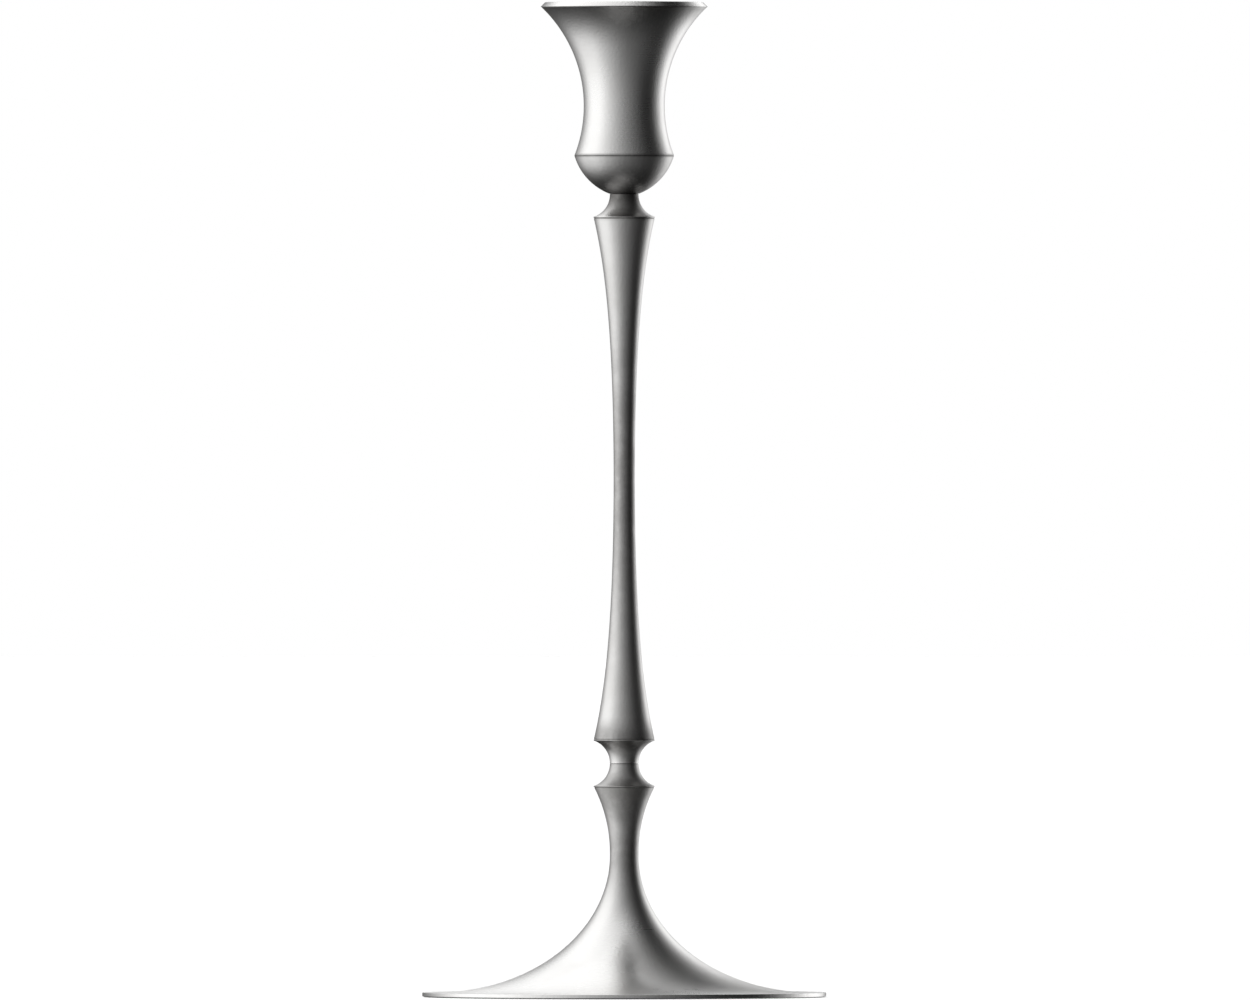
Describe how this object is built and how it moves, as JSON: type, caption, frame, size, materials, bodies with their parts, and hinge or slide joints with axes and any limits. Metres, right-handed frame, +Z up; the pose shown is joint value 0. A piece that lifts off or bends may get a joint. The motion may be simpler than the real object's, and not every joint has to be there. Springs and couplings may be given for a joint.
{
  "type": "candlestick",
  "caption": "Slender turned candlestick with a flared bell cup, lift-out candle nozzle, waisted stem and a wide trumpet-shaped weighted foot.",
  "frame": {"origin": "centre of the felt underside that the candlestick stands on", "axes": "+Z up the axis that every piece is turned about; +X and +Y are free, since the outside is round"},
  "size_m": [0.134, 0.134, 0.33],
  "materials": {
    "silver_plate": "polished",
    "steel": "satin",
    "cast_iron": "matte",
    "felt": "matte"
  },
  "bodies": {
    "candlestick": {"candle_cup": "silver_plate", "cup_bowl": "silver_plate", "cup_screw": "steel", "cup_washer": "steel", "cup_lock_washer": "steel", "stem": "silver_plate", "foot": "silver_plate", "base_bolt": "steel", "bolt_washer": "steel", "bolt_lock_washer": "steel", "ballast": "cast_iron", "cover_plate": "steel", "cover_screw_1": "steel", "cover_screw_2": "steel", "cover_screw_3": "steel", "felt_pad": "felt"},
    "nozzle": {"drip_pan": "silver_plate", "candle_sleeve": "silver_plate"}
  },
  "joints": [
    {"name": "nozzle_lift", "type": "slide", "parent": "candlestick", "child": "nozzle", "axis": [0, 0, 1], "range_m": [0, 0.05]}
  ]
}
